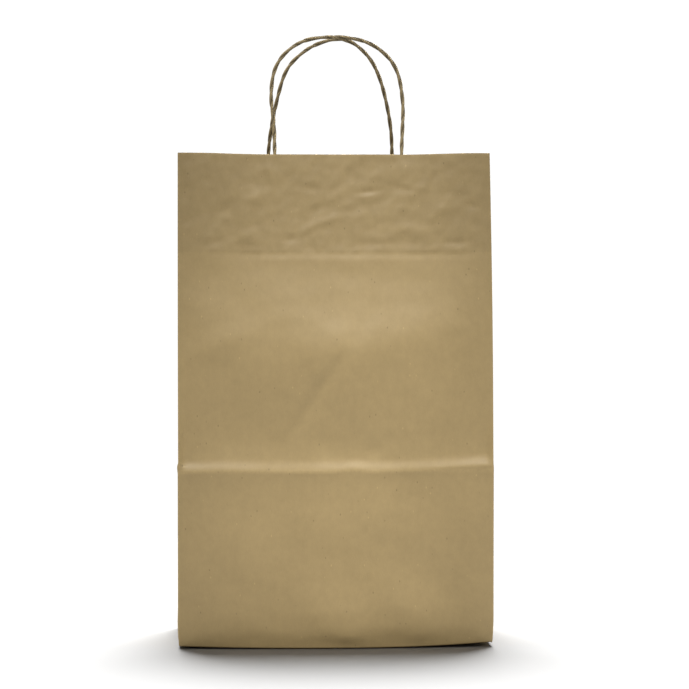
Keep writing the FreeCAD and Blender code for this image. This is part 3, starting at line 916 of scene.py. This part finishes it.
def grown(name, source, tree, values):
    """The result of a node tree on a mesh, as a plain mesh object."""
    holder = bpy.data.objects.new(name + "_source", source)
    bpy.context.scene.collection.objects.link(holder)
    modifier = holder.modifiers.new("grow", "NODES")
    modifier.node_group = tree
    for key, value in values.items():
        modifier[key] = value
    graph = bpy.context.evaluated_depsgraph_get()
    mesh = bpy.data.meshes.new_from_object(holder.evaluated_get(graph))
    mesh.name = name
    holder.modifiers.remove(modifier)
    bpy.data.objects.remove(holder)
    piece = bpy.data.objects.new(name, mesh)
    bpy.context.scene.collection.objects.link(piece)
    return piece


def make_cords():
    tree, names = twisted_cord_tree()
    for side in ("front", "back"):
        line = cord_spline(side)
        cord = grown(f"{side}_handle_cord", line, tree, {names["material"]: CORD_KRAFT})
        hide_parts(f"{side}_cord_loop", f"{side}_cord_left_leg", f"{side}_cord_right_leg")
        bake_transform(cord)


# ---------------------------------------------------------------- floor, light and camera
def make_floor():
    mesh = bpy.data.meshes.new("floor")
    reach, level = 0.8, -0.35 * MM
    corners = ((-1, -1), (1, -1), (1, 1), (-1, 1))
    mesh.from_pydata([(reach * x, reach * y, level) for x, y in corners], [], [(0, 1, 2, 3)])
    floor = bpy.data.objects.new("floor", mesh)
    bpy.context.scene.collection.objects.link(floor)
    material, _, shader = new_material("white_table")
    shader.inputs["Base Color"].default_value = (0.45, 0.45, 0.45, 1)
    shader.inputs["Roughness"].default_value = 0.9
    shader.inputs["Specular IOR Level"].default_value = 0.0
    mesh.materials.append(material)
    return floor


def lit_only(lamp, pieces):
    """Makes a lamp light only these pieces."""
    group = bpy.data.collections.new(lamp.name + "_on")
    for piece in pieces:
        group.objects.link(piece)
    lamp.light_linking.receiver_collection = group


def hang_lamp(lamp, place, target):
    holder = bpy.data.objects.new(lamp.name, lamp)
    holder.location = place
    holder.rotation_mode = "QUATERNION"
    holder.rotation_quaternion = (Vector(target) - Vector(place)).to_track_quat("-Z", "Y")
    bpy.context.scene.collection.objects.link(holder)
    return holder


def softbox(name, place, target, size, power, spread):
    lamp = bpy.data.lights.new(name, "AREA")
    lamp.shape = "RECTANGLE"
    lamp.size, lamp.size_y = size
    lamp.energy = power
    lamp.spread = math.radians(spread)
    return hang_lamp(lamp, place, target)


def sunlight(name, turn, rise, angle, strength):
    lamp = bpy.data.lights.new(name, "SUN")
    lamp.angle = math.radians(angle)
    lamp.energy = strength
    turn, rise = math.radians(turn), math.radians(rise)
    place = (math.sin(turn) * math.cos(rise), -math.cos(turn) * math.cos(rise), math.sin(rise))
    return hang_lamp(lamp, place, (0, 0, 0))


def make_light(floor):
    world = bpy.data.worlds.new("studio")
    bpy.context.scene.world = world
    world.use_nodes = True
    nodes, links = world.node_tree.nodes, world.node_tree.links
    background = nodes["Background"]
    background.inputs["Color"].default_value = (1, 1, 1, 1)
    seen = nodes.new("ShaderNodeLightPath")
    strength = nodes.new("ShaderNodeMapRange")
    strength.inputs["To Min"].default_value = AMBIENT
    strength.inputs["To Max"].default_value = BACKDROP
    links.new(seen.outputs["Is Camera Ray"], strength.inputs["Value"])
    links.new(strength.outputs["Result"], background.inputs["Strength"])
    lit_only(sunlight("floor_light", **FLOOR_LIGHT), [floor])
    bag = [o for o in bpy.context.scene.objects if o.type == "MESH" and o != floor]
    lit_only(softbox("key", **KEY), bag)
    for name, place, power in FILLS:
        lit_only(softbox(name, place, FILL_TARGET, FILL_SIZE, power, FILL_SPREAD), bag)
    settings = bpy.context.scene.view_settings
    settings.view_transform = "Standard"
    settings.look = "None"


# What the world gives as light, and how bright it is where the camera sees it.
AMBIENT = 0.12
BACKDROP = 1.05
# The key is for the bag, the sun for the floor's soft shadow, and the fills for the back and sides.
KEY = {"place": (0.08, -1.62, 3.14), "target": (0.010, -0.06, -0.08), "size": (0.10, 0.66),
       "power": 1.08, "spread": 11}
FLOOR_LIGHT = {"turn": 176, "rise": 67, "angle": 31, "strength": 8.2}
FILL_TARGET, FILL_SIZE, FILL_SPREAD = (0, 0, 0.2), (0.4, 0.4), 80
FILLS = [("fill_back", (-0.5, 1.1, 1.5), 3.3), ("fill_right", (1.3, 0.25, 1.1), 2.6),
         ("fill_left", (-1.3, 0.25, 1.1), 2.2)]
CAMERA_TURN = math.radians(-3.1)
CAMERA_DISTANCE = 2.24
VIEW_WIDTH = 0.5514
AIM = Vector((0.0066, -HALF_DEPTH, 0.2434))
EYE_HEIGHT = 0.32


def make_camera():
    camera = bpy.data.cameras.new("camera")
    camera.sensor_width = 36
    camera.clip_start, camera.clip_end = 0.05, 40
    holder = bpy.data.objects.new("camera", camera)
    drop = EYE_HEIGHT - AIM.z
    place = AIM + Vector((math.sin(CAMERA_TURN) * CAMERA_DISTANCE,
                          -math.cos(CAMERA_TURN) * CAMERA_DISTANCE, drop))
    camera.lens = 36 * (place - AIM).length / VIEW_WIDTH
    holder.location = place
    holder.rotation_mode = "QUATERNION"
    holder.rotation_quaternion = (AIM - place).to_track_quat("-Z", "Y")
    bpy.context.scene.collection.objects.link(holder)
    bpy.context.scene.camera = holder


make_camera()
make_cords()
make_walls()
make_patches()
make_light(make_floor())
